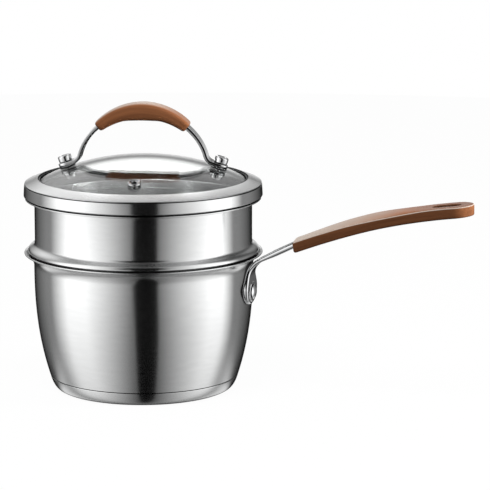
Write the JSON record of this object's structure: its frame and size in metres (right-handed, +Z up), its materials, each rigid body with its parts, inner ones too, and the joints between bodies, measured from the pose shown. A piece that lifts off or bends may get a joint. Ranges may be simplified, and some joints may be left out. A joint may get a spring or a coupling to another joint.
{
  "type": "milk pan with steamer",
  "caption": "Stainless milk pan with a lift-out steamer insert, a domed glass lid in a steel ring, and brown arched grips on a long handle and a lid handle.",
  "frame": {"origin": "centre of the pan's flat underside, where it stands", "axes": "+X along the long handle away from the pan, +Z up the pan's axis"},
  "size_m": [0.3373, 0.1756, 0.2123],
  "materials": {
    "brushed_steel": "satin stainless with fine rings round the axis",
    "aluminium_core": "plain rolled",
    "polished_steel": "polished stainless",
    "brown_grip": "wood-look moulded grip, semi-gloss",
    "clear_glass": "clear toughened glass",
    "grey_silicone": "matte silicone"
  },
  "bodies": {
    "pan": {"pan_body": "brushed_steel", "base_core": "aluminium_core", "base_cap": "brushed_steel", "handle_bracket": "polished_steel", "handle_rivet": "polished_steel", "handle_grip": "brown_grip", "handle_screw": "polished_steel"},
    "steamer": {"steamer_basket": "brushed_steel"},
    "lid": {"lid_rim": "brushed_steel", "rim_seal": "grey_silicone", "lid_glass": "clear_glass", "vent_eyelet": "polished_steel", "lid_handle_strap": "polished_steel", "lid_handle_grip": "brown_grip", "left_cap_nut": "polished_steel", "left_upper_gasket": "grey_silicone", "left_lower_gasket": "grey_silicone", "left_stud_washer": "polished_steel", "left_stud_screw": "polished_steel", "right_cap_nut": "polished_steel", "right_upper_gasket": "grey_silicone", "right_lower_gasket": "grey_silicone", "right_stud_washer": "polished_steel", "right_stud_screw": "polished_steel"}
  },
  "joints": [
    {"name": "steamer_lift", "type": "slide", "parent": "pan", "child": "steamer", "axis": [0, 0, 1], "range_m": [0, 0.12]},
    {"name": "lid_lift", "type": "slide", "parent": "steamer", "child": "lid", "axis": [0, 0, 1], "range_m": [0, 0.1]}
  ]
}
